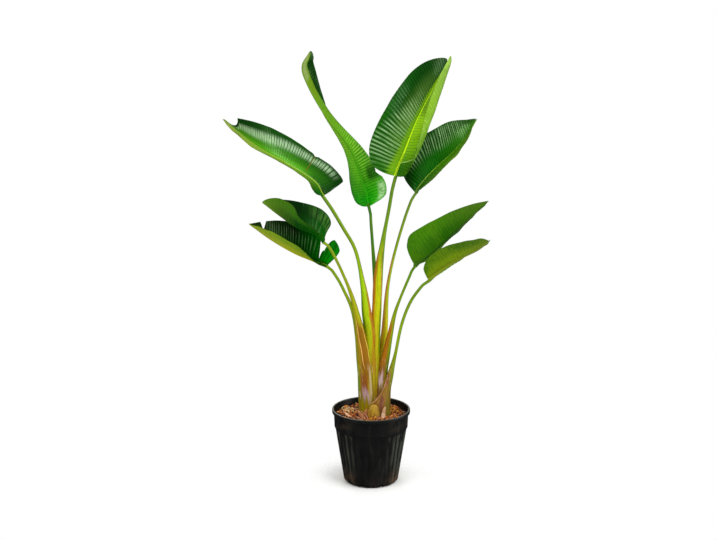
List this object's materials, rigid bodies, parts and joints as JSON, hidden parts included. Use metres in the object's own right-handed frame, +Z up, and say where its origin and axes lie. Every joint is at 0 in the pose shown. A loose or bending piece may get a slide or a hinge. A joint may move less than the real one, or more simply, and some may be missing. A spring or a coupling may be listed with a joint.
{
  "type": "potted bird of paradise plant",
  "caption": "Tall bird of paradise house plant: broad pleated leaves on long clasping stalks in an open fan, rooted in bark mix in a round black fluted nursery pot.",
  "frame": {"origin": "centre of the pot's underside, in the plane that the pot stands on", "axes": "+Z up, along the plant's height; the fan of leaves spreads along X; the pictured front looks along -Y"},
  "size_m": [0.8202, 0.4681, 1.3839],
  "materials": {
    "pot": "black, slightly glossy, with dust",
    "mix": "rough bark chips",
    "blade": "glossy green, waxy and pleated",
    "stalk": "smooth, yellow-green, waxy bloom",
    "dry": "dry and papery",
    "stub": "matt golden brown"
  },
  "bodies": {
    "root": {"nursery_pot": "pot", "potting_mix": "mix", "old_leaf_stub": "stub", "dry_scale_left": "dry", "dry_scale_middle": "dry", "dry_scale_right": "dry", "leaf_top_left_stalk": "stalk", "leaf_top_left_blade": "blade", "leaf_top_right_stalk": "stalk", "leaf_top_right_blade": "blade", "leaf_upper_left_stalk": "stalk", "leaf_upper_left_blade": "blade", "leaf_upper_right_stalk": "stalk", "leaf_upper_right_blade": "blade", "leaf_middle_left_stalk": "stalk", "leaf_middle_left_blade": "blade", "leaf_middle_right_stalk": "stalk", "leaf_middle_right_blade": "blade", "leaf_lower_left_stalk": "stalk", "leaf_lower_left_blade": "blade", "leaf_lower_right_stalk": "stalk", "leaf_lower_right_blade": "blade"}
  },
  "joints": []
}
